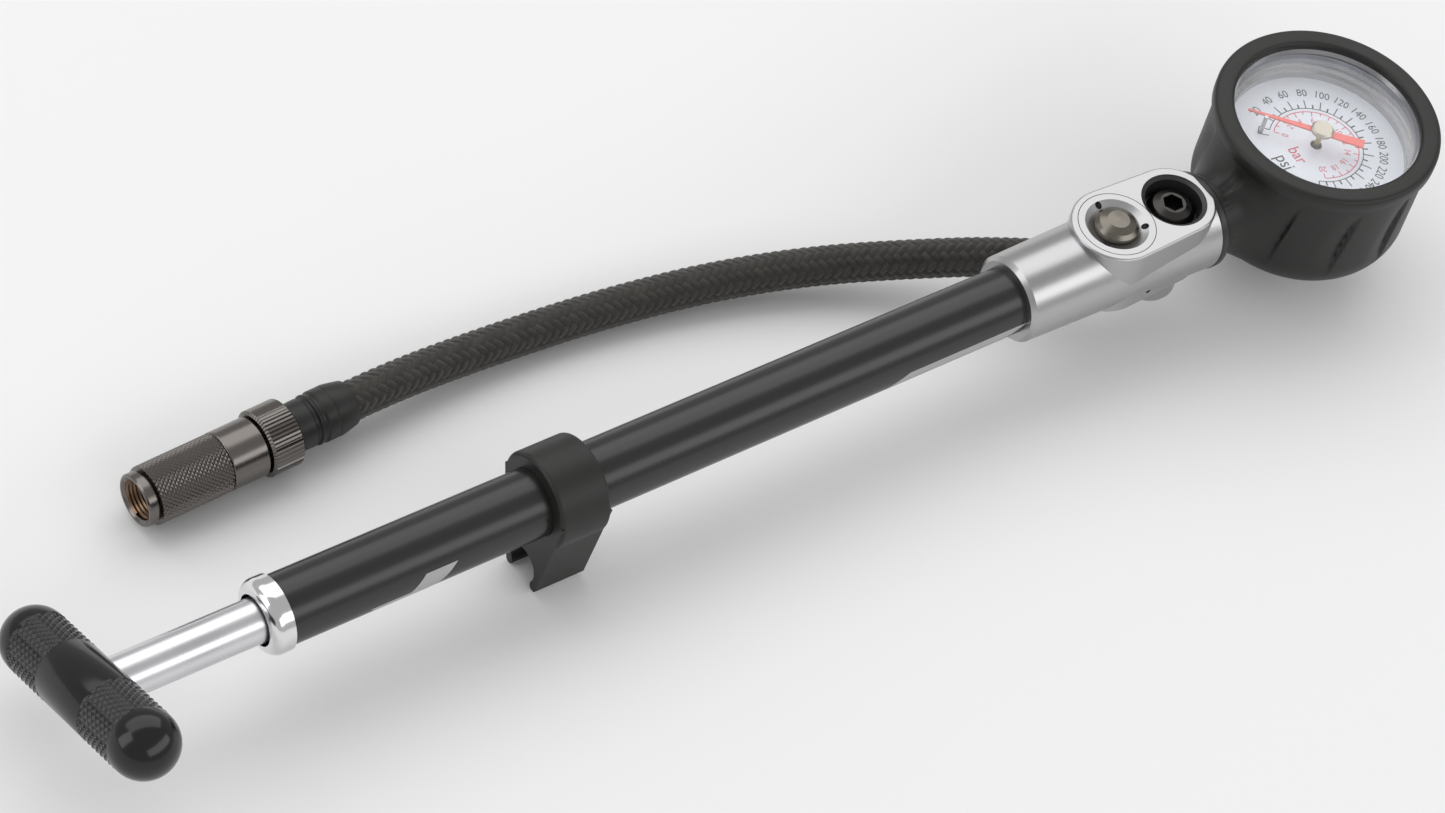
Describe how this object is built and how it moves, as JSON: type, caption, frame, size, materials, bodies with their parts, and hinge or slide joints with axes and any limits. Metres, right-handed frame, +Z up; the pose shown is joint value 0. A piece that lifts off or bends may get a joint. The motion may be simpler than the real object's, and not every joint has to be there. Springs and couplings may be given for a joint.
{
  "type": "shock suspension pump",
  "caption": "Slim hand pump for air-sprung suspension: T-handle plunger, alloy valve head with bleed button, rubber-booted dial gauge and a braided hose with a screw-on coupler.",
  "frame": {"origin": "centre of the pump's footprint, without the hose, on the surface it lies on", "axes": "+X along the barrel from the handle to the gauge, +Z up, the way the dial faces"},
  "size_m": [0.3228, 0.0769, 0.0403],
  "materials": {
    "black_anodised": "gloss black anodised tube",
    "gloss_black": "gloss black lacquered bar, knurled bands",
    "chrome": "polished",
    "rod_steel": "satin polished tube",
    "blasted_alloy": "bead-blasted clear anodised alloy",
    "button_nickel": "smoky polished nickel",
    "black_steel": "black oxide",
    "turned_steel": "turned",
    "brass": "machined",
    "rubber": "matte black rubber",
    "black_plastic": "satin",
    "hose_braid": "woven charcoal braid",
    "gunmetal": "gunmetal anodised",
    "dial_white": "printed white dial",
    "pointer_red": "coral red lacquer",
    "clear": "clear polycarbonate window"
  },
  "bodies": {
    "root": {"barrel": "black_anodised", "end_cap": "chrome", "rod_guide": "black_plastic", "rod_wiper": "rubber", "head": "blasted_alloy", "barrel_seal": "rubber", "check_seat": "brass", "check_spring": "turned_steel", "bleed_plug": "blasted_alloy", "bleed_spring": "turned_steel", "swivel_insert": "black_plastic", "swivel_bolt": "black_steel", "swivel_nut": "blasted_alloy", "gauge_stem": "brass", "neck_ring": "black_plastic", "gauge_case": "turned_steel", "gauge_socket": "brass", "bourdon_tube": "brass", "movement_frame": "brass", "dial": "dial_white", "dial_ring": "turned_steel", "stop_pin": "turned_steel", "lens": "clear", "lens_ring": "turned_steel", "gauge_boot": "rubber"},
    "piston_ring": {"piston_seal": "rubber"},
    "plunger": {"piston": "black_plastic", "piston_screw": "turned_steel", "piston_rod": "rod_steel", "t_handle": "gloss_black", "handle_pin": "turned_steel"},
    "check_ball": {"check_ball": "turned_steel"},
    "bleed_button": {"bleed_button": "button_nickel", "bleed_seal": "rubber"},
    "hose_swivel": {"swivel_hub": "blasted_alloy", "hub_seals": "rubber", "hose_ferrule": "black_steel", "hose": "hose_braid", "hose_sleeve": "rubber", "chuck_body": "gunmetal", "valve_gasket": "rubber", "pin_spring": "turned_steel"},
    "coupler": {"coupler": "gunmetal"},
    "chuck_ring": {"chuck_ring": "gunmetal"},
    "depressor_pin": {"depressor_pin": "turned_steel"},
    "sector": {"sector_gear": "brass"},
    "link": {"link": "brass"},
    "pointer": {"pointer_shaft": "brass", "pointer": "pointer_red", "pointer_hub": "brass"},
    "clip": {"hose_clip": "rubber"}
  },
  "joints": [
    {"name": "plunger_slide", "type": "slide", "parent": "root", "child": "piston_ring", "axis": [-1, 0, 0], "range_m": [-0.0278, 0.125]},
    {"name": "handle_spin", "type": "hinge", "parent": "piston_ring", "child": "plunger", "pos_m": [-0.15465, 0, 0.02214], "axis": [1, 0, 0], "continuous": true},
    {"name": "bleed_press", "type": "slide", "parent": "root", "child": "bleed_button", "axis": [0, 0, -1], "range_m": [0, 0.0018], "stiffness_N_per_m": 800, "springref_m": -0.002, "deforming": ["bleed_spring"]},
    {"name": "check_lift", "type": "slide", "parent": "root", "child": "check_ball", "axis": [1, 0, 0], "range_m": [0, 0.0006], "stiffness_N_per_m": 60, "springref_m": -0.001},
    {"name": "hose_turn", "type": "hinge", "parent": "root", "child": "hose_swivel", "pos_m": [0.09764, 0, 0.01214], "axis": [0, 0, 1], "range_deg": [-80, 0]},
    {"name": "coupler_spin", "type": "hinge", "parent": "hose_swivel", "child": "coupler", "pos_m": [-0.10887, 0.04354, 0.007], "axis": [0.9985, 0.0541, 0], "continuous": true},
    {"name": "ring_turn", "type": "hinge", "parent": "hose_swivel", "child": "chuck_ring", "pos_m": [-0.0879, 0.04468, 0.007], "axis": [0.9985, 0.0541, 0], "range_deg": [0, 270]},
    {"name": "pin_slide", "type": "slide", "parent": "hose_swivel", "child": "depressor_pin", "axis": [-0.9985, -0.0541, 0], "range_m": [0, 0.0025]},
    {"name": "sector_turn", "type": "hinge", "parent": "root", "child": "sector", "pos_m": [0.1458, -0.005, 0.02464], "axis": [0, 0, 1], "range_deg": [0, 28.6], "stiffness_Nm_per_rad": 0.0004, "springref_deg": -5.73},
    {"name": "pointer_turn", "type": "hinge", "parent": "root", "child": "pointer", "pos_m": [0.13714, 0, 0.03414], "axis": [0, 0, 1], "range_deg": [-258, 0]},
    {"name": "link_swing", "type": "hinge", "parent": "sector", "child": "link", "pos_m": [0.1508, -0.005, 0.02584], "axis": [0, 0, 1], "range_deg": [-28.7, 0]},
    {"name": "clip_slide", "type": "slide", "parent": "root", "child": "clip", "axis": [1, 0, 0], "range_m": [-0.045, 0.09]}
  ],
  "couplings": [
    {"joint": "pin_slide", "follows": "ring_turn", "m_per_rad": 0.0005093},
    {"joint": "pointer_turn", "follows": "sector_turn", "ratio": -9},
    {"joint": "link_swing", "follows": "sector_turn", "ratio": -1}
  ]
}
